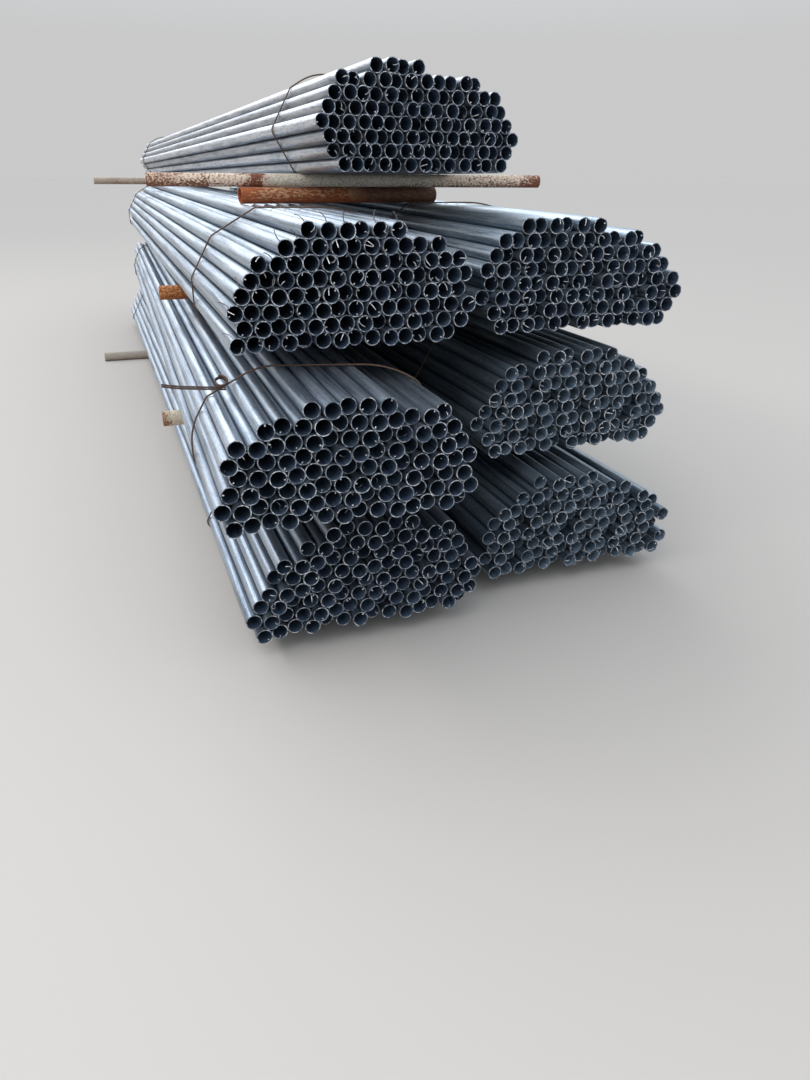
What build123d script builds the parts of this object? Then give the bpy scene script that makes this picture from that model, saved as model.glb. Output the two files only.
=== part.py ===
# A yard stack of galvanised steel scaffold tubes.
#
# Seven tied bundles of loose tubes lie the same way, two side by side on each of three tiers
# and one across the top.  Short lengths of old pipe keep the tiers apart and off the ground,
# and two rings of wire rod hold each bundle.
#
# Row frame: +X to the right, +Y along the tubes and away from the viewer, +Z up.
# The origin is on the floor, under the middle of the whole stack.  All sizes are millimetres.
from build123d import *
from math import atan2, cos, degrees, dist, hypot, radians, sin, tan
import os

# Stock tube
tube_od = 48.6
tube_wall = 2.4
tube_length = 6000.0
side_gap = 0.5         # what is left between two tubes that lie side by side

# Cross pipes between the tiers
bearer_od = 60.3
bearer_wall = 3.9
thin_pipe_od = 48.3    # the cream pipe and the pale one behind it, under the top bundle
thin_pipe_wall = 3.2
seat_gap = 0.3         # rest clearance wherever one piece lies on another

# Tie rings of wire rod
rod_diameter = 5.5
rod_gap = 0.35
rod_bends = 12         # bends in the rod on its way round a bundle
rod_lay = 0.9          # share of the way to its next touch that a bend may take up

# Rows of each bundle from the bottom one up, as (first place, number of tubes).  Places are
# counted in tube pitches from the first tube of the bottom row, and every row lies half a
# place off the row below it, so its tubes drop into the valleys there.
rows_1_left = [(0, 14), (-0.5, 15), (0, 15), (0.5, 14), (1, 13), (1.5, 12), (3, 10), (4.5, 6)]
rows_1_right = [(0, 14), (-0.5, 15), (0, 14), (-0.5, 15), (0, 14), (0.5, 12), (2, 9), (3.5, 5)]
rows_2_left = [(0, 14), (-0.5, 15), (0, 14), (0.5, 14), (0, 14), (0.5, 13), (2, 11), (4.5, 5)]
rows_2_right = [(0, 13), (-0.5, 14), (-1, 15), (-0.5, 14), (0, 13), (0.5, 12), (1, 10), (3.5, 6)]
rows_3_left = [(0, 14), (0.5, 14), (0, 15), (0.5, 14), (1, 14), (1.5, 13), (3, 10), (4.5, 6)]
rows_3_right = [(0, 13), (-0.5, 14), (-1, 15), (-0.5, 14), (-1, 14), (-0.5, 13), (0, 11), (1.5, 6)]
rows_4_top = [(0, 13), (-0.5, 14), (-1, 15), (-1.5, 15), (-1, 14), (-0.5, 13), (0, 11), (2.5, 4)]

# Extra room between neighbours of a bottom row, used over and over along the row
slack = [0.0, 1.6, 0.0, 0.6, 2.4, 0.0, 1.0, 0.0, 3.0, 0.4]

# How far the tube ends stand back from the foremost one, used over and over
tidy_ends = [0.0, 14.0, 30.0, 8.0, 46.0, 22.0, 3.0, 37.0, 18.0]
ragged_ends = [0.0, 18.0, 6.0, 32.0, 12.0, 48.0, 3.0, 24.0, 9.0, 38.0, 15.0]

# Bundles: middle of the bottom row across the stack, foremost tube end, turn about the vertical
place_1_left = (-313.0, 115.0, 0.7)
place_1_right = (516.0, 260.0, -0.3)
place_2_left = (-386.0, 0.0, -0.7)
place_2_right = (515.0, 365.0, 0.3)
place_3_left = (-292.0, 330.0, 0.2)
place_3_right = (523.0, 386.0, -0.8)
place_4_top = (174.0, 940.0, 2.4)

# Tie rings of each bundle, as (way along its tubes from the foremost end, skew); a skewed ring
# lies further back on its left side
ties_1_left = [(810.0, 0.0), (5560.0, 0.0)]
ties_1_right = [(700.0, 0.0), (5450.0, 0.0)]
ties_2_left = [(400.0, 14.0), (5400.0, 0.0)]
ties_2_right = [(595.0, 0.0), (5450.0, 0.0)]
ties_3_left = [(760.0, 8.0), (5750.0, 0.0)]
ties_3_right = [(1054.0, 0.0), (5600.0, 0.0)]
ties_4_top = [(580.0, 0.0), (5650.0, 0.0)]

# Cross pipes: left end, right end and the station along the stack that each lies at
ground_front = (-570.0, 880.0, 1310.0)
ground_rear = (-1030.0, 1030.0, 4530.0)
second_front = (-800.0, 870.0, 1290.0)
second_rear = (-600.0, 830.0, 4710.0)
third_front = (-723.0, 900.0, 1860.0)
third_rear = (-570.0, 940.0, 4810.0)
top_short = (-404.0, 446.0, 1500.0)
top_front = (-744.0, 880.0, 1460.0)
top_rear = (-924.0, 776.0, 5200.0)
top_short_yaw = 6.0
top_front_yaw = -3.0


def seat(a, b):
    """The centre of a tube that rests on tubes a and b, to the left of the way from a to b."""
    reach = tube_od + side_gap
    dx = b[0] - a[0]
    dz = b[1] - a[1]
    span = hypot(dx, dz)
    rise = (reach ** 2 - (span / 2) ** 2) ** 0.5
    return (a[0] + dx / 2 - dz / span * rise, a[1] + dz / 2 + dx / span * rise)


def pile(rows):
    """Tube centres (x, z) of one bundle by row and place, over the middle of its bottom row."""
    first, count = rows[0]
    steps = [tube_od + side_gap + slack[number % len(slack)] for number in range(count - 1)]
    row = {}
    for number in range(count):
        row[first + number] = (sum(steps[:number]) - sum(steps) / 2, tube_od / 2)
    layers = [row]
    for first, count in rows[1:]:
        below = row
        row = {}
        places = [first + number for number in range(count)]
        for place in places:
            if place - 0.5 in below and place + 0.5 in below:
                row[place] = seat(below[place - 0.5], below[place + 0.5])
                # where a valley is too near its neighbour, the tube leans on that neighbour
                beside = row.get(place - 1, row[place])
                if 0 < dist(row[place], beside) < tube_od + side_gap:
                    row[place] = seat(beside, below[place + 0.5])
        # a tube past the end of the row below leans on that row's end and on its neighbour
        if places[0] not in row:
            row[places[0]] = seat(below[places[0] + 0.5], row[places[1]])
        if places[-1] not in row:
            row[places[-1]] = seat(row[places[-2]], below[places[-1] - 0.5])
        layers.append(dict(sorted(row.items())))
    return layers


def crest(rows):
    """Height of a bundle over its own base."""
    return max(z for row in pile(rows) for x, z in row.values()) + tube_od / 2


def mouth_plane(place, base_z, tilt, depth):
    """The plane across a bundle, depth mm along its tubes; it faces the viewer.

    The tilt drops the far end of the tubes, in degrees."""
    middle_x, front_y, yaw = place
    turn = radians(yaw)
    drop = radians(tilt)
    along = Vector(-sin(turn) * cos(drop), cos(turn) * cos(drop), -sin(drop))
    front = Vector(middle_x, front_y, base_z)
    return Plane(origin=front + along * depth, x_dir=(cos(turn), sin(turn), 0), z_dir=along * -1)


def tube_bundle(label, place, base_z, tilt, rows, ends):
    """The loose tubes of one bundle."""
    centres = [centre for row in pile(rows) for centre in row.values()]
    with BuildPart() as bundle:
        for turn, set_back in enumerate(ends):
            with BuildSketch(mouth_plane(place, base_z, tilt, set_back)):
                with Locations(*centres[turn::len(ends)]):
                    Circle(tube_od / 2)
                    Circle(tube_od / 2 - tube_wall, mode=Mode.SUBTRACT)
            extrude(amount=-tube_length)
    bundle.part.label = label
    return bundle


def girth(rows, skew):
    """The bends that a stiff rod takes round a bundle, as (x, z, radius) in the rod's plane.

    The rod touches the bundle on one side after another.  Each bend is as wide as the places
    where it next touches allow, and as the tubes under the bend do.  A skewed plane cuts the
    bundle that much wider."""
    reach = (tube_od / 2 + rod_gap + rod_diameter / 2) / cos(radians(skew))
    centres = [(x / cos(radians(skew)), z) for row in pile(rows) for x, z in row.values()]
    turn = radians(360 / rod_bends)
    # each side lies this far out, and touches the tubes from one place along it to another
    sides = []
    for side in range(rod_bends):
        across, up = cos(turn * side), sin(turn * side)
        far_out = max(x * across + z * up for x, z in centres)
        touches = [z * across - x * up for x, z in centres if x * across + z * up > far_out - 0.1]
        sides.append((far_out + reach, min(touches), max(touches)))
    bends = []
    for side in range(rod_bends):
        out, first_touch, last_touch = sides[side]
        next_out, next_first, next_last = sides[(side + 1) % rod_bends]
        corner = (next_out - out * cos(turn)) / sin(turn)
        next_corner = (next_out * cos(turn) - out) / sin(turn)
        room = min(corner - last_touch, next_first - next_corner)
        across, up = cos(turn * side), sin(turn * side)
        x, z = out * across - corner * up, out * up + corner * across
        radius = rod_lay * room / tan(turn / 2)
        while bend_hits(x, z, turn * (side + 0.5), turn, radius, reach, centres):
            radius *= 0.95
        bends.append((x, z, radius))
    return bends


def bend_hits(x, z, facing, turn, radius, reach, centres):
    """Whether a bend of that radius, in the corner (x, z), comes nearer than reach to a tube."""
    hub_x = x - radius / cos(turn / 2) * cos(facing)
    hub_z = z - radius / cos(turn / 2) * sin(facing)
    for tube_x, tube_z in centres:
        ahead = (tube_x - hub_x) * cos(facing) + (tube_z - hub_z) * sin(facing)
        away = dist((tube_x, tube_z), (hub_x, hub_z))
        if ahead > away * cos(turn / 2) and away > radius - reach:
            return True
    return False


def tie_rings(label, place, base_z, tilt, rows, rings):
    """Rings of wire rod drawn tight round a bundle."""
    with BuildPart() as ties:
        for depth, skew in rings:
            bends = girth(rows, skew)
            corners = [(x, z) for x, z, radius in bends]
            radii = [radius for x, z, radius in bends]
            plane = mouth_plane(place, base_z, tilt, depth).rotated((0, 0, -skew))
            with BuildLine(plane) as path:
                FilletPolyline(*corners, radius=radii, close=True)
            with BuildSketch(Plane(origin=path.line @ 0, z_dir=path.line % 0)):
                Circle(rod_diameter / 2)
            sweep(path=path.line)
    ties.part.label = label
    return ties


def cross_pipe(label, ends, centre_z, yaw, od, wall):
    """A length of old pipe lying across the stack, turned by yaw about the vertical."""
    left, right, station = ends
    axis = Vector(cos(radians(yaw)), sin(radians(yaw)), 0)
    middle = Vector((left + right) / 2, station, centre_z)
    with BuildPart() as pipe:
        with BuildSketch(Plane(origin=middle - axis * ((right - left) / 2), z_dir=axis)):
            Circle(od / 2)
            Circle(od / 2 - wall, mode=Mode.SUBTRACT)
        extrude(amount=right - left)
    pipe.part.label = label
    return pipe


# Heights of the tiers, each on the crest of the one below with the cross pipes between
course = bearer_od + 2 * seat_gap
base_1 = bearer_od + seat_gap
crest_1 = base_1 + max(crest(rows_1_left), crest(rows_1_right))
base_2 = crest_1 + course
crest_2 = base_2 + max(crest(rows_2_left), crest(rows_2_right))
base_3 = crest_2 + course
crest_3 = base_3 + max(crest(rows_3_left), crest(rows_3_right))

# The top bundle lies on a pipe on a pipe in front, and on one thin pipe behind, so it leans back
short_z = crest_3 + seat_gap + bearer_od / 2
front_z = short_z + bearer_od / 2 + seat_gap + thin_pipe_od / 2
rear_z = crest_3 + seat_gap + thin_pipe_od / 2
lean_run = (top_rear[2] - top_front[2]) / cos(radians(place_4_top[2]))
top_tilt = degrees(atan2(front_z - rear_z, lean_run))
overhang = (top_front[2] - place_4_top[1]) / cos(radians(place_4_top[2]))
# it touches the skewed front pipe first at one side
skew = radians(place_4_top[2] - top_front_yaw)
skew_lift = max(x for x, z in pile(rows_4_top)[0].values()) * tan(skew) * tan(radians(top_tilt))
seat_4 = (thin_pipe_od / 2 + seat_gap) / cos(radians(top_tilt)) + skew_lift
base_4 = front_z + seat_4 + overhang * tan(radians(top_tilt))

pieces = [
    tube_bundle("bundle_1_left", place_1_left, base_1, 0.0, rows_1_left, tidy_ends),
    tube_bundle("bundle_1_right", place_1_right, base_1, 0.0, rows_1_right, ragged_ends),
    tube_bundle("bundle_2_left", place_2_left, base_2, 0.0, rows_2_left, tidy_ends),
    tube_bundle("bundle_2_right", place_2_right, base_2, 0.0, rows_2_right, ragged_ends),
    tube_bundle("bundle_3_left", place_3_left, base_3, 0.0, rows_3_left, tidy_ends),
    tube_bundle("bundle_3_right", place_3_right, base_3, 0.0, rows_3_right, ragged_ends),
    tube_bundle("bundle_4_top", place_4_top, base_4, top_tilt, rows_4_top, tidy_ends),
    tie_rings("ties_1_left", place_1_left, base_1, 0.0, rows_1_left, ties_1_left),
    tie_rings("ties_1_right", place_1_right, base_1, 0.0, rows_1_right, ties_1_right),
    tie_rings("ties_2_left", place_2_left, base_2, 0.0, rows_2_left, ties_2_left),
    tie_rings("ties_2_right", place_2_right, base_2, 0.0, rows_2_right, ties_2_right),
    tie_rings("ties_3_left", place_3_left, base_3, 0.0, rows_3_left, ties_3_left),
    tie_rings("ties_3_right", place_3_right, base_3, 0.0, rows_3_right, ties_3_right),
    tie_rings("ties_4_top", place_4_top, base_4, top_tilt, rows_4_top, ties_4_top),
    cross_pipe("pipe_ground_front", ground_front, bearer_od / 2, 0.0, bearer_od, bearer_wall),
    cross_pipe("pipe_ground_rear", ground_rear, bearer_od / 2, 0.0, bearer_od, bearer_wall),
    cross_pipe("pipe_second_front", second_front, crest_1 + course / 2, 0.0, bearer_od, bearer_wall),
    cross_pipe("pipe_second_rear", second_rear, crest_1 + course / 2, 0.0, bearer_od, bearer_wall),
    cross_pipe("pipe_third_front", third_front, crest_2 + course / 2, 0.0, bearer_od, bearer_wall),
    cross_pipe("pipe_third_rear", third_rear, crest_2 + course / 2, 0.0, bearer_od, bearer_wall),
    cross_pipe("pipe_top_short", top_short, short_z, top_short_yaw, bearer_od, bearer_wall),
    cross_pipe("pipe_top_front", top_front, front_z, top_front_yaw, thin_pipe_od, thin_pipe_wall),
    cross_pipe("pipe_top_rear", top_rear, rear_z, 0.0, thin_pipe_od, thin_pipe_wall),
]

# The origin goes under the middle of the finished stack
boxes = [piece.part.bounding_box() for piece in pieces]
middle_x = (min(box.min.X for box in boxes) + max(box.max.X for box in boxes)) / 2
middle_y = (min(box.min.Y for box in boxes) + max(box.max.Y for box in boxes)) / 2
to_origin = Location((-middle_x, -middle_y, 0))
print("middle of the stack", middle_x, middle_y, "height", max(box.max.Z for box in boxes))

os.makedirs("parts", exist_ok=True)
for piece in pieces:
    name = piece.part.label
    placed = piece.part.moved(to_origin)
    placed.label = name
    export_step(placed, "parts/" + name + ".step")
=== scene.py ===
# %% [markdown]
# # A yard stack of galvanised scaffold tubes
#
# Seven wire-tied bundles of steel tube lie on short lengths of old pipe.  The CAD frame holds
# the real sizes and places.  This lesson dresses it: every tube gets a round mesh and a zinc
# finish, and the old pipes get their paint and rust.

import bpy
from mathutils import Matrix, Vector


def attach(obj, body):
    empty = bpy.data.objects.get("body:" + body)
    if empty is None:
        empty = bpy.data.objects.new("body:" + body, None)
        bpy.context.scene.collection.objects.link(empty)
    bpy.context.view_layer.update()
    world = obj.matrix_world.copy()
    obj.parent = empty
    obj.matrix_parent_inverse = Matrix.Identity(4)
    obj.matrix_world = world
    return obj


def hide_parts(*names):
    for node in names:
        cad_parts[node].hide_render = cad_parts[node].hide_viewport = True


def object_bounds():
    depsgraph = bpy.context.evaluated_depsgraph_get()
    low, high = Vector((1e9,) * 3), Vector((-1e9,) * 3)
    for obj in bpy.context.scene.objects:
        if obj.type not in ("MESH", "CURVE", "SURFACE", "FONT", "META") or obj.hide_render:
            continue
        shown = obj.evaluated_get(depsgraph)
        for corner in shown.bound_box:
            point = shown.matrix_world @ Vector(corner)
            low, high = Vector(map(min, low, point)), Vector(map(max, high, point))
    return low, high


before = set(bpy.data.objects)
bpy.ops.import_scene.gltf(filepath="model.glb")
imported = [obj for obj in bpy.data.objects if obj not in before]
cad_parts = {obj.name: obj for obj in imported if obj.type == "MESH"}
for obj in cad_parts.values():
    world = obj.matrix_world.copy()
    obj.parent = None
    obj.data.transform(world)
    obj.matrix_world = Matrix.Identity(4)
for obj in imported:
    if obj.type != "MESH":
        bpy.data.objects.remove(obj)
cad_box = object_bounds()
print("CAD box", cad_box)

# %% Tools for the lesson
import math
import random

import bmesh
import bpy
from mathutils import Matrix, Vector

BUNDLES = ["bundle_1_left", "bundle_1_right", "bundle_2_left", "bundle_2_right",
           "bundle_3_left", "bundle_3_right", "bundle_4_top"]
TIES = [name.replace("bundle", "ties") for name in BUNDLES]
PIPES = ["pipe_ground_front", "pipe_ground_rear", "pipe_second_front", "pipe_second_rear",
         "pipe_third_front", "pipe_third_rear", "pipe_top_short", "pipe_top_front",
         "pipe_top_rear"]
print("CAD nodes:", len(BUNDLES), "bundles with their ties and", len(PIPES), "cross pipes")


# %% [markdown]
# ## Reading the tubes off the frame
#
# A bundle's CAD node is one mesh with about a hundred separate tubes.  Each tube is an island
# of connected faces, and all its corners lie at its two ends, so the middle of each end and
# the two radii are enough to draw it again, with as many sides as the picture needs.

# %% Find each tube of a node
SAME_SPOT = 1e-5         # corners nearer to each other than this, in metres, are one


def islands(bm):
    """Lists the vertices of each connected part of a mesh, always in the same order."""
    seen = set()
    parts = []
    for first in bm.verts:
        if first in seen:
            continue
        seen.add(first)
        grown = [first]
        for vert in grown:
            for edge in vert.link_edges:
                other = edge.other_vert(vert)
                if other not in seen:
                    seen.add(other)
                    grown.append(other)
        parts.append(grown)
    return parts


def read_tubes(node):
    """(start, end, outer radius, inner radius) of every tube in a CAD node."""
    bm = bmesh.new()
    bm.from_mesh(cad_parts[node].data)
    bmesh.ops.remove_doubles(bm, verts=bm.verts, dist=SAME_SPOT)
    tubes = []
    for verts in islands(bm):
        size = [max(v.co[k] for v in verts) - min(v.co[k] for v in verts) for k in range(3)]
        axis = size.index(max(size))
        middle = sum(v.co[axis] for v in verts) / len(verts)
        ends = []
        for side in (-1, 1):
            ring = [v.co for v in verts if (v.co[axis] - middle) * side > 0]
            ends.append(sum(ring, Vector()) / len(ring))
        start, end = ends
        line = (end - start).normalized()
        reach = [((v.co - start) - line * (v.co - start).dot(line)).length for v in verts]
        tubes.append((start, end, max(reach), min(reach)))
    bm.free()
    return tubes


found = {name: read_tubes(name) for name in BUNDLES + PIPES}
print("tubes found:", {name: len(tubes) for name, tubes in found.items()})
print("a tube:", [round(r * 2000, 2) for r in found["bundle_3_left"][0][2:]], "mm across")


# %% [markdown]
# ## One tube
#
# A tube is a turned shape.  Two cylinders, one cut from the other, would make it too, but a
# spin gives even faces with no cut to clean: the outline of the wall is drawn once, as a thin
# closed loop, and spun round the axis.  A cross pipe gets softened corners at its ends.  A
# bundle tube is repeated hundreds of times, so its ends stay plain and it has sixteen sides.

# %% Spin a tube along +Z
TUBE_SIDES = 16
SKIN, BORE, SAWN = 0, 1, 2      # material slots: the outside, the inside and the sawn ends
END_ON = 0.6             # a face whose normal lies this much along the axis is a sawn one


def turned_tube(length, outer, inner, sides, lip):
    """A bmesh of a plain tube that stands on the origin along +Z."""
    if lip:
        outline = [(inner + lip, 0), (outer - lip, 0), (outer, lip), (outer, length - lip),
                   (outer - lip, length), (inner + lip, length), (inner, length - lip),
                   (inner, lip)]
    else:
        outline = [(inner, 0), (outer, 0), (outer, length), (inner, length)]
    bm = bmesh.new()
    loop = [bm.verts.new((r, 0, z)) for r, z in outline]
    edges = [bm.edges.new(pair) for pair in zip(loop, loop[1:] + loop[:1])]
    bmesh.ops.spin(bm, geom=loop + edges, cent=(0, 0, 0), axis=(0, 0, 1), angle=math.tau,
                   steps=sides, use_merge=True)
    bmesh.ops.remove_doubles(bm, verts=bm.verts, dist=SAME_SPOT)
    bmesh.ops.recalc_face_normals(bm, faces=bm.faces)
    for face in bm.faces:
        middle = face.calc_center_median()
        outward = face.normal.x * middle.x + face.normal.y * middle.y
        face.material_index = SKIN if outward > 0 else BORE
        if abs(face.normal.z) > END_ON:
            face.material_index = SAWN
    return bm


sample = turned_tube(1.0, 0.024, 0.021, TUBE_SIDES, 0)
print("one bundle tube:", len(sample.faces), "faces")
sample.free()


# %% [markdown]
# ## Placing and joining
#
# An Array modifier could repeat a tube, but these don't lie on an even grid.  So a copy of the
# turned tube is laid on every tube of the CAD node, rolled by a random angle, and joined to
# the rest in one mesh.  The dice are seeded, so each run gives the same stack.

# %% Helpers for places and copies
SMOOTH_ANGLE = 40        # degrees: an edge sharper than this stays sharp


def standing(spot, way, up):
    """The matrix that stands a shape on a spot with its +Z that way; up is its upper axis."""
    return Matrix.Translation(spot) @ way.to_track_quat("Z", up).to_matrix().to_4x4()


def any_roll(dice):
    """A turn about +Z by any angle."""
    return Matrix.Rotation(dice.uniform(0, math.tau), 4, "Z")


def new_piece(name, bm):
    """Makes an object of a bmesh, shaded smooth up to an angle."""
    mesh = bpy.data.meshes.new(name)
    bm.to_mesh(mesh)
    bm.free()
    mesh.polygons.foreach_set("use_smooth", [True] * len(mesh.polygons))
    mesh.set_sharp_from_angle(angle=math.radians(SMOOTH_ANGLE))
    piece = bpy.data.objects.new(name, mesh)
    bpy.context.scene.collection.objects.link(piece)
    return piece


def repeat(bm, template, places, seed):
    """Adds a copy of a mesh at each place, with a tube_seed of its own on its corners."""
    dice = random.Random(seed)
    mark = bm.verts.layers.float.get("tube_seed") or bm.verts.layers.float.new("tube_seed")
    for place in places:
        before = len(bm.verts)
        bm.from_mesh(template)
        bm.verts.ensure_lookup_table()
        fresh = bm.verts[before:]
        bmesh.ops.transform(bm, matrix=place, verts=fresh)
        shade = dice.random()
        for vert in fresh:
            vert[mark] = shade


laid = standing((0, 0, 0), Vector((0, 1, 0)), "X")
print("a shape laid along +Y has its +Z at", [round(part, 3) for part in laid.col[2].xyz])


# %% [markdown]
# ## The bundles
#
# Two numbers are written on the corners of each tube.  One is the tube's own, so that the zinc
# can differ from tube to tube.  The other is high where the skin faces a neighbour or the
# ground: it darkens the grooves and the undersides, which is painted shade with a little grime.
# An ambient occlusion node would find the grooves too, but it is worked out anew for every
# pixel, and a number on a corner isn't.

# %% Join the tubes of a bundle
TUBE_SEED = 10
GROOVE = 1.45            # how far off a neighbour counts, in tube diameters between the axes
UNDERSIDE = 0.85         # how much a skin that faces straight down counts as closed in
# The mask is painted shade in the grooves and undersides, with some grime.
SHADE_GRIME_FROM, SHADE_GRIME_RANGE = 0.42, 0.55    # where the grime begins, and how soon it is full


def mark_shade_grime(bm, tubes):
    """Writes how closed in the skin is, from 0 to 1, on each tube's corners, for painted shade and
    grime.
    """
    layer = bm.verts.layers.float.new("grime")
    bm.verts.ensure_lookup_table()
    each = len(bm.verts) // len(tubes)
    for number, (start, end, outer, inner) in enumerate(tubes):
        beside = [(tube[0] - start).xz for tube in tubes if tube[0] is not start]
        beside = [way.normalized() for way in beside if way.length < GROOVE * 2 * outer]
        line = (end - start) / (end.y - start.y)
        for vert in bm.verts[number * each:(number + 1) * each]:
            facing = (vert.co - start - line * (vert.co.y - start.y)).xz.normalized()
            closed = max([facing.dot(way) for way in beside] + [-facing.y * UNDERSIDE, 0.0])
            vert[layer] = min(1.0, max(0.0, (closed - SHADE_GRIME_FROM) / SHADE_GRIME_RANGE))


def joined_tubes(name, tubes, sides, lip, seed):
    """One object with a round tube on every (start, end, outer, inner) of the list."""
    dice = random.Random(seed)
    start, end, outer, inner = tubes[0]
    template = bpy.data.meshes.new(name + "_template")
    one = turned_tube((end - start).length, outer, inner, sides, lip)
    one.to_mesh(template)
    one.free()
    places = [standing(tube[0], tube[1] - tube[0], "X") @ any_roll(dice) for tube in tubes]
    bm = bmesh.new()
    repeat(bm, template, places, seed)
    if len(tubes) > 1:
        mark_shade_grime(bm, tubes)
    bpy.data.meshes.remove(template)
    return new_piece(name, bm)


def short_name(node):
    """The bundle's place in the stack, as in 2_left."""
    return node.removeprefix("bundle_")


dressed = {}
for number, node in enumerate(BUNDLES):
    piece = joined_tubes("tubes_" + short_name(node), found[node], TUBE_SIDES, 0,
                         TUBE_SEED + number)
    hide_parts(node)
    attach(piece, "root")
    dressed[node] = piece
    print(piece.name, len(piece.data.polygons), "faces")

# %% [markdown]
# ## The cross pipes
#
# The same helper makes them.  There are only nine, and their ends stick out into view, so they
# get more sides and a softened edge where the saw or the torch left it.

# %% The cross pipes
PIPE_SIDES = 48
PIPE_LIP = 0.0012        # softened edge of a pipe's end, in metres
PIPE_SEED = 50

for number, node in enumerate(PIPES):
    piece = joined_tubes("old_" + node, found[node], PIPE_SIDES, PIPE_LIP, PIPE_SEED + number)
    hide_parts(node)
    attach(piece, "root")
    dressed[node] = piece
print("cross pipes:", len(PIPES))


# %% [markdown]
# ## Slivers of steel
#
# The seam of a welded tube leaves a thin ribbon of steel inside, and the saw lets it curl out
# of the mouth.  A bevelled curve could draw each one.  Here a tiny flat section is spun through
# part of a turn, because four numbers then give every kind: a hook, a long arc, a spike, a
# tight curl and a wide bend.  The last kind is a nib of burr, short and broad.

# %% One ribbon of each kind
RIBBON_THICKNESS = 0.0006
KINDS = [(0.0020, 0.009, 190, 7), (0.0022, 0.030, 62, 5), (0.0018, 0.060, 20, 3),
         (0.0016, 0.005, 250, 7), (0.0020, 0.016, 110, 6),
         (0.0034, 0.0045, 120, 4)]      # width and radius in metres, sweep in degrees, steps
NIB = len(KINDS) - 1


def ribbon(width, radius, sweep, steps, thick=RIBBON_THICKNESS):
    """A mesh of a curled strip that starts at the origin and bends from +Z towards +X."""
    bm = bmesh.new()
    loop = [bm.verts.new((x, y, 0)) for x, y in
            ((0, -width / 2), (thick, -width / 2), (thick, width / 2), (0, width / 2))]
    edges = [bm.edges.new(pair) for pair in zip(loop, loop[1:] + loop[:1])]
    bmesh.ops.contextual_create(bm, geom=edges)
    bmesh.ops.spin(bm, geom=bm.faces[:] + loop + edges, cent=(radius, 0, 0), axis=(0, 1, 0),
                   angle=math.radians(sweep), steps=steps, use_merge=False)
    bmesh.ops.recalc_face_normals(bm, faces=bm.faces)
    mesh = bpy.data.meshes.new("ribbon")
    bm.to_mesh(mesh)
    bm.free()
    return mesh


ribbons = [ribbon(*kind) for kind in KINDS]
print("faces of each kind:", [len(mesh.polygons) for mesh in ribbons])


# %% [markdown]
# Some bundles show many ribbons and some only a few, so each bundle has a chance of its own,
# and the saw left a nib at about every other mouth.  A mouth at the very front of the stack
# keeps its ribbon deep inside, so that the finished piece stays within the CAD box.

# %% Ribbons in the mouths
SLIVER_SEED, SLIVER_SHADE_SEED = 200, 300
SLIVER_CHANCE = {"bundle_1_left": 0.22, "bundle_1_right": 0.28, "bundle_2_left": 0.18,
                 "bundle_2_right": 0.45, "bundle_3_left": 0.40, "bundle_3_right": 0.45,
                 "bundle_4_top": 0.15}       # of one in a mouth; a second comes half as often
NIB_CHANCE = 0.5
FRONT_ROOM = 0.040       # how far a mouth must stand back before a ribbon may stick out
MOUTH_DEPTH = 0.003      # how far inside such a mouth the ribbon starts
HIDDEN = 0.045           # how far inside it starts where there is no such room
NIB_DEPTH = 0.0055       # a nib starts just inside the mouth, and hardly leaves it
OFF_WALL = 0.0006        # how far a ribbon's root stands off the inside of the wall
LEAN = 0.7               # how far a ribbon may lean to either side, in radians


def root_depth(kind, start):
    """How far inside its mouth a ribbon of that kind starts."""
    if kind == NIB:
        return NIB_DEPTH
    stands_back = start.y - cad_box[0][1] > FRONT_ROOM
    return MOUTH_DEPTH if stands_back else HIDDEN


for number, node in enumerate(BUNDLES):
    dice = random.Random(SLIVER_SEED + number)
    chance = SLIVER_CHANCE[node]
    draws = ((chance, range(NIB)), (chance / 2, range(NIB)), (NIB_CHANCE, [NIB]))
    spots = [[] for kind in KINDS]
    for start, end, outer, inner in found[node]:
        mouth = standing(start, start - end, "X")
        for luck, choice in draws:
            turn = any_roll(dice)
            lean = Matrix.Rotation(dice.uniform(-LEAN, LEAN), 4, "X")
            kind = dice.choice(choice)
            root = Matrix.Translation((OFF_WALL - inner, 0, -root_depth(kind, start)))
            if dice.random() < luck:
                spots[kind].append(mouth @ turn @ root @ lean)
    bm = bmesh.new()
    for template, places in zip(ribbons, spots):
        repeat(bm, template, places, SLIVER_SHADE_SEED + number)
    piece = new_piece("slivers_" + short_name(node), bm)
    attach(piece, "root")
    dressed["slivers_" + short_name(node)] = piece
    print(piece.name, sum(len(places) for places in spots))


# %% [markdown]
# On the upper left slope of the third bundle the ribbons were bent back over the outside,
# where they stand up as dark hairs against the bright zinc.  They root on the outer edge of a
# mouth that has no other mouth beyond it, so a test on the neighbours finds their places.

# %% Ribbons that stand up
BURR_SEED, BURR_SHADE_SEED = 77, 78
BURR_CHANCE = 0.8
BURR_CLOCK = (95, 135)   # the ways that they may stand, in degrees from +X towards +Z
BURR_ROOT = 0.0008       # how far the root is let into the skin
BURR_BACK = 0.002        # how far behind the sawn end it stands
NEXT_MOUTH = 3.0         # how far off another mouth counts, in radii between the axes
IN_LINE = 0.75           # how nearly it must lie that way: 1 is straight, 0 is square to it


def open_towards(tube, way, tubes):
    """True when no other mouth lies that way from this one."""
    for other in tubes:
        gap = other[0] - tube[0]
        if 0 < gap.length < NEXT_MOUTH * tube[2] and gap.normalized().dot(way) > IN_LINE:
            return False
    return True


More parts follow.
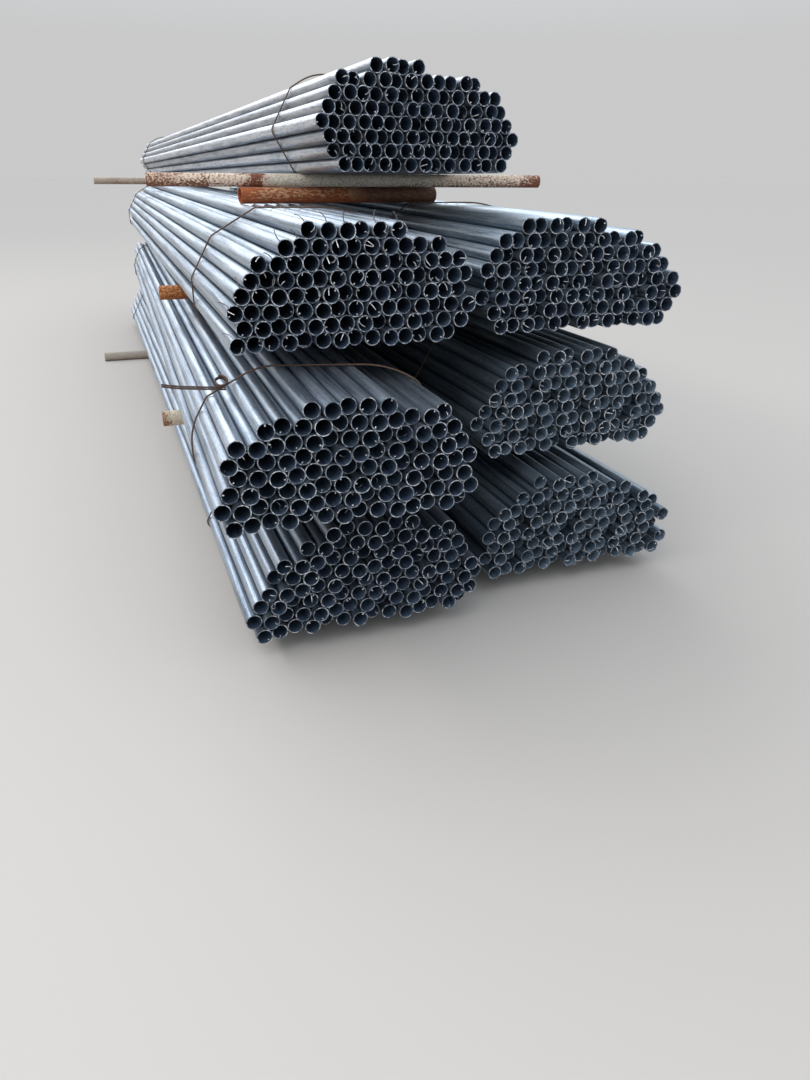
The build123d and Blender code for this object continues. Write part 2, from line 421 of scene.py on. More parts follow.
burr = ribbon(0.0022, 0.032, 66, 6, 0.0020)
dice = random.Random(BURR_SEED)
places = []
for tube in found["bundle_3_left"]:
    clock = math.radians(dice.uniform(*BURR_CLOCK))
    out = Vector((math.cos(clock), 0, math.sin(clock)))
    if open_towards(tube, out, found["bundle_3_left"]) and dice.random() < BURR_CHANCE:
        root = tube[0] + out * (tube[2] - BURR_ROOT) + Vector((0, BURR_BACK, 0))
        places.append(standing(root, out, "Y") @ any_roll(dice))
bm = bmesh.new()
repeat(bm, burr, places, BURR_SHADE_SEED)
burrs = new_piece("standing_slivers_3_left", bm)
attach(burrs, "root")
for mesh in ribbons + [burr]:
    bpy.data.meshes.remove(mesh)
print("standing ribbons:", len(places))


# %% [markdown]
# ## The knotted ends of a tie
#
# A ring of wire rod is closed by winding its two ends round each other.  On the middle bundle
# of the left column that knot is in sight: an open eye of two turns, with the doubled tail
# pointing away to the left.  A curve with a round bevel could draw it, but a curve has to be
# made a mesh before it is finished.  So the eye is one small circle spun with a rise at each
# step, and each strand of the tail is the same circle, extruded along a short route.

# %% Wind a rod and bend a rod
ROD = 0.0055             # thickness of the rod, as in the frame
ROD_SIDES = 8
COIL_STEPS = 18          # steps in one turn of a coil


def eye_coil(radius, rise, turns):
    """A bmesh of a rod that is wound about +Z, rising as it goes."""
    bm = bmesh.new()
    lay = Matrix.Translation((radius, 0, 0)) @ Matrix.Rotation(math.radians(90), 4, "X")
    bmesh.ops.create_circle(bm, cap_ends=True, segments=ROD_SIDES, radius=ROD / 2, matrix=lay)
    steps = round(turns * COIL_STEPS)
    bmesh.ops.spin(bm, geom=bm.verts[:] + bm.edges[:] + bm.faces[:], cent=(0, 0, 0),
                   axis=(0, 0, 1), dvec=(0, 0, rise / steps), angle=turns * math.tau,
                   steps=steps, use_merge=False)
    return bm


def bent_rod(bm, route):
    """Extrudes a small circle through the points of a route."""
    ways = [(b - a).normalized() for a, b in zip(route, route[1:])]
    ways = [ways[0]] + [(a + b).normalized() for a, b in zip(ways, ways[1:])] + [ways[-1]]
    frames = [standing(point, way, "Y") for point, way in zip(route, ways)]
    before = set(bm.faces)
    bmesh.ops.create_circle(bm, cap_ends=True, segments=ROD_SIDES, radius=ROD / 2,
                            matrix=frames[0])
    cap = [face for face in bm.faces if face not in before]
    for old, new in zip(frames, frames[1:]):
        grown = bmesh.ops.extrude_face_region(bm, geom=cap)["geom"]
        fresh = [part for part in grown if isinstance(part, bmesh.types.BMVert)]
        bmesh.ops.transform(bm, matrix=new @ old.inverted(), verts=fresh)
        if old is not frames[0]:
            bmesh.ops.delete(bm, geom=cap, context="FACES_ONLY")
        cap = [part for part in grown if isinstance(part, bmesh.types.BMFace)]


EYE_RADIUS = 0.018
EYE_RISE = 2.4 * ROD
EYE_TURNS = 2.3
EYE_TILT = 34            # degrees, which tips the eye towards the front

bm = eye_coil(EYE_RADIUS, EYE_RISE, EYE_TURNS)
bmesh.ops.transform(bm, matrix=Matrix.Rotation(math.radians(EYE_TILT), 4, "X"), verts=bm.verts)
print("eye of the knot:", len(bm.faces), "faces")


# %% [markdown]
# The knot sits on the front ring between two of its bends.  The frame's own mesh tells where
# they are, so the knot would follow if the ring were drawn anew.

# %% Put the knot on its ring
KNOT_TURNS = (150.0, 156.0)     # two bends of the ring, in degrees from +X towards +Z
KNOT_SHARE = 0.60        # how far the knot sits from the first bend to the second
KNOT_LIFT = Vector((0, -0.004, 0.014))      # from the ring's line to the middle of the knot
STRAND = 0.55            # how far each strand of the tail lies off its middle, in rods
TAIL = [(0.012, -0.004, -0.016), (-0.060, -0.010, -0.008), (-0.120, -0.013, -0.001),
        (-0.172, -0.015, 0.009)]


def ring_point(node, turn):
    """The point of a tie's front ring that lies that way from the ring's middle."""
    points = [v.co.copy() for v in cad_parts[node].data.vertices]
    half_way = sum(p.y for p in points) / len(points)
    front = [p for p in points if p.y < half_way]
    middle = sum(front, Vector()) / len(front)
    way = Vector((math.cos(math.radians(turn)), math.sin(math.radians(turn))))
    return max(front, key=lambda p: (p - middle).xz.normalized().dot(way))


for side in (-STRAND, STRAND):
    bent_rod(bm, [Vector(point) + Vector((0, 0, side * ROD)) for point in TAIL])
first, second = [ring_point("ties_2_left", turn) for turn in KNOT_TURNS]
knot_spot = first.lerp(second, KNOT_SHARE)
bmesh.ops.transform(bm, matrix=Matrix.Translation(knot_spot + KNOT_LIFT), verts=bm.verts)
bmesh.ops.recalc_face_normals(bm, faces=bm.faces)
knot = new_piece("tie_knot", bm)
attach(knot, "root")
print("knot at", [round(v, 3) for v in knot_spot], "with", len(knot.data.polygons), "faces")


# %% [markdown]
# ## Shared effects
#
# Effects that several finishes use are node groups with named sockets, made once.  Every
# group takes a position on the piece and gives back a colour, a roughness and a height.
# Noise on that position needs no picture and no unwrapping, and it fits every piece.

# %% Helpers for node trees
def feed(socket, value):
    """Links a socket to another node's output, or gives it a plain value."""
    if hasattr(value, "is_output"):
        socket.id_data.links.new(value, socket)
    else:
        socket.default_value = value


def fill(node, **values):
    """Feeds a node's inputs by name, where base_color stands for Base Color."""
    for key, value in values.items():
        feed(node.inputs[key.replace("_", " ").title()], value)
    return node


def add(tree, kind, **settings):
    """A node of that kind, with its settings."""
    node = tree.nodes.new(kind)
    for key, value in settings.items():
        setattr(node, key, value)
    return node


def group(name, inputs, outputs):
    """A new shader node group with its sockets; returns the tree and its two end nodes."""
    tree = bpy.data.node_groups.new(name, "ShaderNodeTree")
    for socket, kind, value in inputs:
        made = tree.interface.new_socket(socket, in_out="INPUT", socket_type=kind)
        if value is not None:
            made.default_value = value
    for socket, kind in outputs:
        tree.interface.new_socket(socket, in_out="OUTPUT", socket_type=kind)
    return tree, tree.nodes.new("NodeGroupInput"), tree.nodes.new("NodeGroupOutput")


print("node groups before the first effect:", len(bpy.data.node_groups))


# %% [markdown]
# A few kinds of node come back again and again, so each has a helper that sets its sockets and
# gives back its result.  That keeps a recipe about as short as its sentence in words.

# %% Helpers for values, colours and noise
def math_node(tree, operation, a, b, clamp=False):
    """The value of one sum, product or other simple step."""
    node = add(tree, "ShaderNodeMath", operation=operation, use_clamp=clamp)
    feed(node.inputs[0], a)
    feed(node.inputs[1], b)
    return node.outputs[0]


def weighted(tree, *parts):
    """The sum of some values, each times its weight."""
    total = None
    for value, weight in parts:
        part = math_node(tree, "MULTIPLY", value, weight)
        total = part if total is None else math_node(tree, "ADD", total, part)
    return total


def blend(tree, factor, a, b, mode="MIX"):
    """Mixes two colours by a factor."""
    node = add(tree, "ShaderNodeMix", data_type="RGBA", blend_type=mode)
    for slot, value in ((0, factor), (6, a), (7, b)):       # the two colours are inputs 6 and 7
        feed(node.inputs[slot], value)
    return node.outputs[2]


def ramp(tree, value, *stops):
    """A colour ramp's colour for a value; each stop is (place, colour)."""
    node = add(tree, "ShaderNodeValToRGB")
    marks = node.color_ramp.elements
    for number, (place, colour) in enumerate(stops):
        mark = marks[number] if number < 2 else marks.new(place)
        mark.position = place
        mark.color = colour
    feed(node.inputs[0], value)
    return node.outputs[0]


def spread(tree, value, low, high, to_low=0.0, to_high=1.0):
    """Stretches the part of a value between low and high."""
    node = add(tree, "ShaderNodeMapRange")
    for slot, number in enumerate((value, low, high, to_low, to_high)):
        feed(node.inputs[slot], number)
    return node.outputs[0]


def noise(tree, vector, scale, detail=3.0, roughness=0.55):
    """A noise value on a position."""
    node = add(tree, "ShaderNodeTexNoise")
    fill(node, vector=vector, scale=scale, detail=detail, roughness=roughness)
    return node.outputs["Fac"]


def stretch(tree, vector, scale):
    """Scales a position, to draw a pattern out along a tube."""
    return fill(add(tree, "ShaderNodeMapping"), vector=vector, scale=scale).outputs[0]


helpers = (math_node, weighted, blend, ramp, spread, noise, stretch)
print("node helpers:", [helper.__name__ for helper in helpers])


# %% [markdown]
# ### Zinc
#
# Hot-dip zinc is never one colour.  It has pale bloom in long streaks, darker wet-looking
# patches, and small crystals.  Each tube was dipped by itself, so its seed moves the position
# before the noise is read, and the pattern jumps from tube to tube.  The patterns are drawn
# out along the tube, as the zinc ran off.

# %% Zinc patterns
SEED_STEP = (13.0, 41.0, 27.0)      # how far a seed of one moves the pattern, in metres
CRYSTALS = 150.0         # crystals in a metre

tree, take, give = group(
    "zinc_coat",
    [("Position", "NodeSocketVector", None), ("Seed", "NodeSocketFloat", 0.0),
     ("Grime", "NodeSocketFloat", 0.0)],
    [("Color", "NodeSocketColor"), ("Roughness", "NodeSocketFloat"),
     ("Height", "NodeSocketFloat")])
own = fill(add(tree, "ShaderNodeVectorMath", operation="SCALE"), scale=take.outputs["Seed"])
feed(own.inputs[0], SEED_STEP)
moved = add(tree, "ShaderNodeVectorMath", operation="ADD")
feed(moved.inputs[0], take.outputs["Position"])
feed(moved.inputs[1], own.outputs[0])
spot = moved.outputs[0]
streak = noise(tree, stretch(tree, spot, (70.0, 1.4, 70.0)), 1.0, 4.0, 0.62)
thread = noise(tree, stretch(tree, spot, (420.0, 3.0, 420.0)), 1.0, 3.0, 0.6)
cloud = noise(tree, stretch(tree, spot, (9.0, 2.2, 9.0)), 1.0, 4.0, 0.62)
frost = noise(tree, stretch(tree, spot, (60.0, 22.0, 60.0)), 1.0, 5.0, 0.7)
crystal = fill(add(tree, "ShaderNodeTexVoronoi", feature="F1"),
               vector=stretch(tree, spot, (1.0, 0.6, 1.0)), scale=CRYSTALS)
facet = fill(add(tree, "ShaderNodeRGBToBW"), color=crystal.outputs["Color"]).outputs[0]
print("zinc patterns:", len(tree.nodes), "nodes")

# %% [markdown]
# The streaks, the clouds and the fine threads make one tone, and a ramp turns it into zinc
# that is dark and wet, plain or pale.  Crystals fleck it and frost blooms over it, both only a
# little.  The seed makes a whole tube lighter or darker, and the painted shade of the grooves
# and undersides, with some grime, comes last, washed off along the streaks.

# %% Zinc colour, roughness and height
WET, PLAIN, PALE = (0.33, 0.38, 0.44, 1), (0.73, 0.79, 0.86, 1), (0.97, 0.98, 1.00, 1)
BRIGHT_FLECK, DARK_FLECK = (0.90, 0.95, 1.00, 1), (0.20, 0.24, 0.30, 1)
# The last colour here is painted shade for the grooves and undersides, with some grime in it.
BLOOM_COLOUR, SHADE_GRIME_COLOUR = (0.82, 0.88, 0.94, 1), (0.10, 0.13, 0.165, 1)

tone = weighted(tree, (streak, 0.40), (cloud, 0.20), (thread, 0.40))
colour = ramp(tree, tone, (0.41, WET), (0.49, PLAIN), (0.57, PALE))
colour = blend(tree, spread(tree, facet, 0.60, 0.78, 0.0, 0.22), colour, BRIGHT_FLECK)
colour = blend(tree, spread(tree, facet, 0.38, 0.22, 0.0, 0.20), colour, DARK_FLECK)
bloom = spread(tree, frost, 0.58, 0.74, 0.0, 0.35)
colour = blend(tree, bloom, colour, BLOOM_COLOUR)
shade = spread(tree, take.outputs["Seed"], 0.0, 1.0, 0.70, 1.12)
colour = blend(tree, 1.0, colour, shade, "MULTIPLY")
# Painted shade with some grime darkens the grooves and undersides, less along the streaks.
washed = spread(tree, streak, 0.30, 0.60, 1.0, 0.55)
shade_and_dirt = math_node(tree, "MULTIPLY", take.outputs["Grime"], washed)
colour = blend(tree, shade_and_dirt, colour, SHADE_GRIME_COLOUR)
rough = weighted(tree, (spread(tree, tone, 0.34, 0.66, 0.30, 0.42), 1.0), (bloom, 0.25),
                 (shade_and_dirt, 0.20))
fill(give, color=colour, roughness=rough,
     height=weighted(tree, (thread, 0.6), (facet, 0.25)))
print("zinc_coat:", len(tree.nodes), "nodes")

# %% [markdown]
# ### Rust under old paint
#
# The cross pipes are cut from scrap.  Their paint has broken into islands and the rust shows
# between them.  A mask painted by hand would have to be a picture, so two noises of different
# grain are mixed and cut off sharply, which gives that ragged edge, and the same mask lifts
# the paint a little above the rust.

# %% Rust group
EDGE = 0.03              # half the soft edge of an island of paint, in values of the noise
RUST_GRIT, PAINT_STAIN = (0.07, 0.03, 0.02, 1), (0.30, 0.17, 0.09, 1)
FRESH_RUST = (1.9, 2.0, 1.9, 1)     # how much lighter fresh rust is than the old

tree, take, give = group(
    "rusty_paint",
    [("Position", "NodeSocketVector", None), ("Paint", "NodeSocketColor", (0.7, 0.6, 0.5, 1)),
     ("Rust", "NodeSocketColor", (0.20, 0.07, 0.04, 1)), ("Cover", "NodeSocketFloat", 0.5)],
    [("Color", "NodeSocketColor"), ("Roughness", "NodeSocketFloat"),
     ("Height", "NodeSocketFloat")])
spot, paint, rust = [take.outputs[name] for name in ("Position", "Paint", "Rust")]
coarse = noise(tree, spot, 9.0, 3.0, 0.6)
fine = noise(tree, spot, 150.0, 5.0, 0.7)
grain = noise(tree, spot, 420.0, 3.0, 0.7)
mixed = weighted(tree, (coarse, 0.32), (fine, 0.68))
edge = math_node(tree, "ADD", mixed, math_node(tree, "SUBTRACT", take.outputs["Cover"], 1.0))
mask = spread(tree, edge, -EDGE, EDGE)
fresh = blend(tree, 1.0, rust, FRESH_RUST, "MULTIPLY")
stain = blend(tree, spread(tree, fine, 0.35, 0.7), rust, fresh)
stain = blend(tree, spread(tree, grain, 0.3, 0.8, 0.0, 0.7), stain, RUST_GRIT)
dirty = blend(tree, spread(tree, fine, 0.3, 0.62, 0.75, 0.0), paint, PAINT_STAIN)
fill(give, color=blend(tree, mask, stain, dirty),
     roughness=spread(tree, mask, 0.0, 1.0, 0.92, 0.6),
     height=weighted(tree, (mask, 0.6), (grain, 0.4)))
print("rusty_paint:", len(tree.nodes), "nodes")


# %% [markdown]
# ## The finishes
#
# Every material is a Principled shader.  A shared group gives it its colour, its roughness and
# a height for the bump, and constant values are set on the shader itself.

# %% Helpers for materials
def new_material(name):
    """A material with an empty Principled shader; returns it, its tree and the shader."""
    material = bpy.data.materials.new(name)
    material.use_nodes = True
    tree = material.node_tree
    return material, tree, tree.nodes["Principled BSDF"]


def on_piece(tree):
    """The position on the piece, in metres."""
    return add(tree, "ShaderNodeTexCoord").outputs["Object"]


def written(tree, name):
    """A number that was written on the piece's corners."""
    return add(tree, "ShaderNodeAttribute", attribute_name=name).outputs["Fac"]


def use_group(tree, name, **values):
    """Places a shared group in a material."""
    return fill(add(tree, "ShaderNodeGroup", node_tree=bpy.data.node_groups[name]), **values)


def bumped(tree, shader, height, distance, strength):
    """Feeds a height to the shader's normal; distance is in metres."""
    bump = fill(add(tree, "ShaderNodeBump"), strength=strength, distance=distance,
                height=height)
    fill(shader, normal=bump.outputs["Normal"])


print("shared groups:", [made.name for made in bpy.data.node_groups])


# %% [markdown]
# ### Zinc on the tubes
#
# Each bundle has a tint of its own, partly the zinc's own tone and partly painted shade: the
# top bundle is neutral, the left column is cooler, the right column is bluer, and the lower
# bundles are darker.  The inside of a tube is dark and dull, partly darker steel and partly
# painted shade.  In the two lower bundles of the right column it is painted lighter, as the
# light that gets in.

# %% Zinc outside and inside
def zinc_finish(name, tint, metallic, roughness=None):
    """Zinc of a plain tint.  With a roughness of its own it is an inner face, without painted
    shade and grime.
    """
    material, tree, shader = new_material(name)
    coat = use_group(tree, "zinc_coat", position=on_piece(tree), seed=written(tree, "tube_seed"))
    if roughness is None:
        fill(coat, grime=written(tree, "grime"))
        roughness = coat.outputs["Roughness"]
    fill(shader, base_color=blend(tree, 1.0, coat.outputs["Color"], tint, "MULTIPLY"),
         roughness=roughness, metallic=metallic)
    bumped(tree, shader, coat.outputs["Height"], 0.0002, 0.4)
    return material


# Each tint is partly the zinc's own tone and partly painted shade: darker lower down, bluer on the
# right.
ZINC_TINTS_AND_SHADE = {"bundle_1_left": (0.52, 0.56, 0.61, 1), "bundle_1_right": (0.62, 0.70, 0.75, 1),
              "bundle_2_left": (0.60, 0.64, 0.69, 1), "bundle_2_right": (0.62, 0.70, 0.75, 1),
              "bundle_3_left": (0.66, 0.70, 0.74, 1), "bundle_3_right": (0.70, 0.77, 0.81, 1),
              "bundle_4_top": (0.76, 0.73, 0.72, 1)}
# Bundles whose bores are painted lighter, as the light that gets into them.
PAINTED_LIT_BORES = ("bundle_1_right", "bundle_2_right")

zinc_of = {node: zinc_finish("zinc_" + short_name(node), tint, metallic=0.9)
           for node, tint in ZINC_TINTS_AND_SHADE.items()}
# The dark bore is partly the tube's darker inside and partly painted shade in the recess.
bore = zinc_finish("dark_bore", (0.15, 0.20, 0.27, 1), metallic=0.3, roughness=0.50)
# A lighter bore: painted light where light gets into the tubes.
painted_lit_bore = zinc_finish("painted_lit_bore", (0.27, 0.34, 0.40, 1), metallic=0.2, roughness=0.60)
print("zinc finishes:", [made.name for made in zinc_of.values()] + [bore.name, painted_lit_bore.name])

# %% [markdown]
# ### Sawn ends
#
# The saw left a ragged edge: bright bare steel with painted glints in some places, grime and
# painted shadow in others.
# Cut into the mesh it would cost many faces on every tube, and here one noise gives both the
# colour and the bump.  The number of the tube makes some ends duller than others.

# %% The sawn ends
SHADOWED, PLAIN_CUT = (0.07, 0.09, 0.11, 1), (0.29, 0.33, 0.39, 1)
BARE_CUT_GLINT, DULL_CUT = (0.92, 0.96, 1.00, 1), (0.13, 0.15, 0.19, 1)

sawn, tree, shader = new_material("sawn_end")
ragged = noise(tree, on_piece(tree), 85.0, 4.0, 0.75)
# The ramp paints shadow in the dark patches and glints on the brightest bare steel.
cut_shade_glint = ramp(tree, ragged, (0.40, SHADOWED), (0.50, PLAIN_CUT), (0.58, BARE_CUT_GLINT))
dulled = spread(tree, written(tree, "tube_seed"), 0.0, 1.0, 0.0, 0.45)
fill(shader, base_color=blend(tree, dulled, cut_shade_glint, DULL_CUT), roughness=0.42, metallic=0.5)
bumped(tree, shader, ragged, 0.0006, 0.7)
print("sawn ends:", len(tree.nodes), "nodes")


# %% [markdown]
# ### Ribbons of steel
#
# The ribbons in the mouths are bright bare steel.  Those that stand up in the weather have gone
# dark.  They are too thin to show a pattern, so a fleck between two colours is enough.

# %% The ribbons' finishes
def ribbon_finish(name, low, high):
    """Bare steel between two colours."""
    material, tree, shader = new_material(name)
    fleck = noise(tree, on_piece(tree), 160.0, 2.0)
    fill(shader, base_color=ramp(tree, fleck, (0.35, low), (0.6, high)), roughness=0.5,
         metallic=0.3)
    bumped(tree, shader, fleck, 0.0002, 0.4)
    return material


sliver = ribbon_finish("bare_steel_ribbon", (0.46, 0.44, 0.43, 1), (0.96, 0.96, 0.95, 1))
dull_sliver = ribbon_finish("weathered_ribbon", (0.09, 0.08, 0.08, 1), (0.24, 0.21, 0.20, 1))
print("ribbons:", sliver.name, "and", dull_sliver.name)


# %% [markdown]
# ### Old paint on the cross pipes
#
# Along a pipe the paint changes: the long cream one is stained at its ends, bare in one band and
# greenish under the load.  A ramp along the pipe gives the paint's colour and how much of it is
# left, a broad noise keeps the bands from ending in a straight line, and the underside, which
# stays wet, has more rust.

# %% The cream pipe
WANDER = 0.10            # how far the ends of the bands wander, as a part of the length
WANDER_SCALE = 14.0      # scale of the noise that moves them
WET_BELOW = 0.10         # how much less paint the underside has


def rusty(tree, shader, distance, strength, **values):
    """Gives a shader the colour, the roughness and the bump of the rusty_paint group."""
    skin = use_group(tree, "rusty_paint", **values)
    fill(shader, base_color=skin.outputs["Color"], roughness=skin.outputs["Roughness"])
    bumped(tree, shader, skin.outputs["Height"], distance, strength)


def old_pipe(name, node, rust, drawn, *zones):
    """Broken paint on rusty pipe, its patches drawn out along it by a factor below one.

    Each zone is (place from left to right, paint, cover).
    """
    left, right, radius = found[node][0][:3]
    if left.x > right.x:
        left, right = right, left
    material, tree, shader = new_material(name)
    position = on_piece(tree)
    axes = add(tree, "ShaderNodeSeparateXYZ")
    feed(axes.inputs[0], position)
    wander = math_node(tree, "MULTIPLY", noise(tree, position, WANDER_SCALE), WANDER)
    place = math_node(tree, "ADD", spread(tree, axes.outputs["X"], left.x, right.x), wander)
    place = math_node(tree, "SUBTRACT", place, WANDER / 2, clamp=True)
    paint = ramp(tree, place, *[(spot, colour) for spot, colour, cover in zones])
    cover = ramp(tree, place, *[(spot, (cover, cover, cover, 1)) for spot, colour, cover in zones])
    below = spread(tree, axes.outputs["Z"], left.z - radius, left.z, -WET_BELOW, 0.0)
    cover = math_node(tree, "ADD", cover, below)
    rusty(tree, shader, 0.0015, 0.8, position=stretch(tree, position, (drawn, 1.0, 1.0)),
          paint=paint, rust=rust, cover=cover)
    return material


CREAM, STAINED, GREENISH = (0.96, 0.77, 0.60, 1), (0.74, 0.50, 0.36, 1), (0.82, 0.76, 0.62, 1)
cream = old_pipe("cream_paint_on_rust", "pipe_top_front", (0.20, 0.070, 0.038, 1), 0.8,
                 (0.00, STAINED, 0.48), (0.10, CREAM, 0.53), (0.22, CREAM, 0.55),
                 (0.25, STAINED, 0.40), (0.28, GREENISH, 0.64), (0.66, GREENISH, 0.63),
                 (0.76, CREAM, 0.54), (0.94, CREAM, 0.51), (1.00, STAINED, 0.42))
print("cream pipe:", len(cream.node_tree.nodes), "nodes")

# %% [markdown]
# The other pipes use the same recipe.  The short one is almost bare and dark at its right end,
# the orange one is rust all over, and the rest are dusty and pale.

# %% The other pipes
WORN, DARK_RED, DUST = (0.74, 0.45, 0.24, 1), (0.11, 0.036, 0.022, 1), (0.44, 0.40, 0.35, 1)
red = old_pipe("rust_red", "pipe_top_short", (0.40, 0.105, 0.036, 1), 0.35,
               (0.00, WORN, 0.36), (0.12, WORN, 0.46), (0.48, WORN, 0.45),
               (0.62, DARK_RED, 0.60), (1.00, DARK_RED, 0.66))
orange = old_pipe("orange_rust", "pipe_third_front", (0.31, 0.088, 0.022, 1), 0.6,
                  (0.00, (0.72, 0.27, 0.07, 1), 0.50), (0.50, (0.42, 0.19, 0.09, 1), 0.46))
tan = old_pipe("tan_peeling_paint", "pipe_second_front", (0.30, 0.12, 0.06, 1), 1.0,
               (0.00, (0.60, 0.44, 0.30, 1), 0.50), (0.03, (0.80, 0.70, 0.53, 1), 0.64),
               (1.00, (0.72, 0.62, 0.48, 1), 0.62))
pale = old_pipe("pale_dusty_pipe", "pipe_ground_front", (0.26, 0.18, 0.12, 1), 1.0,
                (0.00, DUST, 0.62), (1.00, DUST, 0.64))
thin = old_pipe("thin_tan_pipe", "pipe_top_rear", (0.26, 0.14, 0.08, 1), 1.0,
                (0.00, (0.50, 0.42, 0.34, 1), 0.58), (1.00, (0.46, 0.38, 0.30, 1), 0.54))
print("pipe finishes:", [made.name for made in (cream, red, orange, tan, pale, thin)])

# %% [markdown]
# ### Wire rod
#
# The rod of the ties is dark brown and hardly shines.  The rust group does for it too, with a
# paint that is almost the colour of the rust.

# %% The wire rod
wire, tree, shader = new_material("wire_rod_brown")
rusty(tree, shader, 0.0004, 0.5, position=on_piece(tree), paint=(0.070, 0.048, 0.042, 1),
      rust=(0.10, 0.050, 0.036, 1), cover=0.58)
fill(shader, metallic=0.3)
print("wire rod:", len(tree.nodes), "nodes")

# %% [markdown]
# ### Each piece gets its finish
#
# A tube has three material slots: the skin, the bore and the sawn ends.  A cross pipe is the
# same all over.  The rings of the ties keep their mesh from the frame.

# %% Hand the finishes out
finish_of = {"pipe_ground_front": (pale, "pale_grey_pipe"),
             "pipe_ground_rear": (pale, "pale_grey_pipe"),
             "pipe_second_front": (tan, "tan_painted_pipe"),
             "pipe_second_rear": (red, "rust_red_pipe"),
             "pipe_third_front": (orange, "orange_rusty_pipe"),
             "pipe_third_rear": (red, "rust_red_pipe"),
             "pipe_top_short": (red, "rust_red_pipe"),
             "pipe_top_front": (cream, "cream_painted_pipe"),
             "pipe_top_rear": (thin, "pale_grey_pipe")}
for node in BUNDLES:
    for material in (zinc_of[node], painted_lit_bore if node in PAINTED_LIT_BORES else bore, sawn):
        dressed[node].data.materials.append(material)
    dressed["slivers_" + short_name(node)].data.materials.append(sliver)
for node, (material, slot) in finish_of.items():
    for face_group in (SKIN, BORE, SAWN):
        dressed[node].data.materials.append(material)
knot.data.materials.append(wire)
burrs.data.materials.append(dull_sliver)
for node in TIES:
    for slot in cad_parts[node].material_slots:
        slot.material = wire
print("finished pieces:", len([*dressed, *TIES, knot, burrs]))

# %% [markdown]
# ## Floor
#
# The stage is a plain pale floor, wide enough to meet the sky far behind the stack.

# %% Floor
FLOOR_TONE = (0.560, 0.516, 0.470, 1)
FLOOR_REACH = 90.0       # from the middle to each side, in metres
FLOOR_DROP = 0.001       # keeps the floor just clear of the pipes on the ground

bm = bmesh.new()
bmesh.ops.create_grid(bm, x_segments=1, y_segments=1, size=FLOOR_REACH)
mesh = bpy.data.meshes.new("floor")
bm.to_mesh(mesh)
bm.free()
floor = bpy.data.objects.new("floor", mesh)
bpy.context.scene.collection.objects.link(floor)
material, tree, shader = new_material("pale_floor")
fill(shader, base_color=FLOOR_TONE, roughness=1.0)
shader.inputs["Specular IOR Level"].default_value = 0.0
floor.data.materials.append(material)
floor.location.z = -FLOOR_DROP
print("floor:", [round(side) for side in floor.dimensions], "m")


# %% [markdown]
# ## Light
#
# Round tubes show a lamp as a streak, so a large, soft one suits them best.  A long, narrow
# lamp on the left lies along the tubes, and a smaller one lights the front ends a little.

# %% Lamps
def lamp(name, spot, target, long, wide, watts):
    """A soft lamp that faces a point, its long side level."""
    light = bpy.data.lights.new(name, "AREA")
    light.shape = "RECTANGLE"
    light.size = long
    light.size_y = wide
    light.energy = watts
    holder = bpy.data.objects.new(name, light)
    holder.location = spot
    holder.rotation_euler = (Vector(target) - Vector(spot)).to_track_quat("-Z", "Y").to_euler()
    bpy.context.scene.collection.objects.link(holder)


lamp("side_strip", (-7.5, 0.0, 6.6), (0.0, 0.3, 0.8), long=11.0, wide=1.5, watts=300.0)
lamp("front_lamp", (-3.0, -6.0, 5.5), (0.0, -3.3, 0.8), long=3.0, wide=3.0, watts=60.0)
print("lamps:", [light.name for light in bpy.data.lights])


# %% [markdown]
# The sky has the floor's tone at the horizon.  Above it, it is brighter at the back and on the
# left, and darker in front and on the right.  Low behind the stack the cloud is thin, and that
# bright band draws a long streak on every tube that is looked at from the front.

# %% Sky
HORIZON, OVERHEAD = (0.585, 0.585, 0.585, 1), (0.92, 1.01, 1.13, 1)
BRIGHT_SIDE, DARK_SIDE = (0.80, 0.88, 0.98, 1), (0.68, 0.76, 0.86, 1)
BREAK = Vector((-0.15, 0.90, 0.42)).normalized()     # where the cloud is thinnest
BREAK_COLOUR = (3.2, 3.4, 3.6, 1)


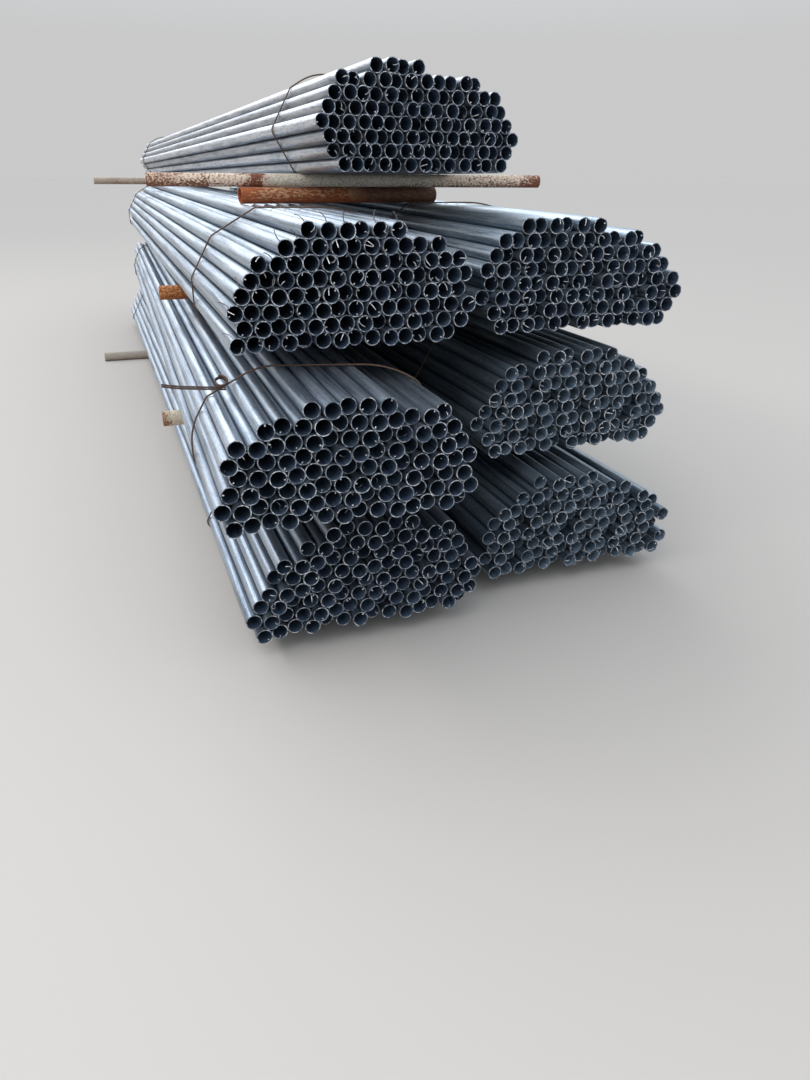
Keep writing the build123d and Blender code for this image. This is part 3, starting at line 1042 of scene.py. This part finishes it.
def sky_ramp(tree, height, side):
    """The sky's colour from the horizon, past one side's own colour, to overhead."""
    return ramp(tree, height, (0.0, HORIZON), (0.12, HORIZON), (0.40, side), (0.90, OVERHEAD))


world = bpy.data.worlds.new("studio_sky")
world.use_nodes = True
bpy.context.scene.world = world
tree = world.node_tree
heading = add(tree, "ShaderNodeTexCoord").outputs["Generated"]
split = add(tree, "ShaderNodeSeparateXYZ")
feed(split.inputs[0], heading)
height = split.outputs["Z"]
back_left = math_node(tree, "SUBTRACT", split.outputs["Y"], split.outputs["X"])
dome = blend(tree, spread(tree, back_left, -1.0, 0.6), sky_ramp(tree, height, DARK_SIDE),
             sky_ramp(tree, height, BRIGHT_SIDE))
towards = add(tree, "ShaderNodeVectorMath", operation="DOT_PRODUCT")
feed(towards.inputs[0], heading)
feed(towards.inputs[1], BREAK)
band = math_node(tree, "MULTIPLY", spread(tree, towards.outputs["Value"], 0.80, 0.95),
                 spread(tree, height, 0.20, 0.34))
fill(tree.nodes["Background"], color=blend(tree, band, dome, BREAK_COLOUR), strength=1.0)
print("sky:", len(tree.nodes), "nodes")

# %% [markdown]
# ## Camera
#
# The camera stands where the photographer stood: at eye height, close to the front ends, and
# looking down along the stack.

# %% Camera
CAMERA_SPOT = (-0.9325, -5.390, 1.348)
HEADING, PITCH, ROLL = 20.15, 25.33, 0.58    # degrees: towards +X, down, and counterclockwise
LENS, SENSOR = 26.15, 36.0      # millimetres

view = bpy.data.cameras.new("camera")
view.sensor_fit = "AUTO"
view.sensor_width = SENSOR
view.lens = LENS
view.clip_start = 0.05
view.clip_end = 100.0
camera = bpy.data.objects.new("camera", view)
turn = (Matrix.Rotation(math.radians(-HEADING), 4, "Z")
        @ Matrix.Rotation(math.radians(90.0 - PITCH), 4, "X")
        @ Matrix.Rotation(math.radians(ROLL), 4, "Z"))
camera.matrix_world = Matrix.Translation(CAMERA_SPOT) @ turn
bpy.context.scene.collection.objects.link(camera)
bpy.context.scene.camera = camera
bpy.context.scene.view_settings.view_transform = "Standard"
print("camera at", CAMERA_SPOT, "with a lens of", LENS, "mm")
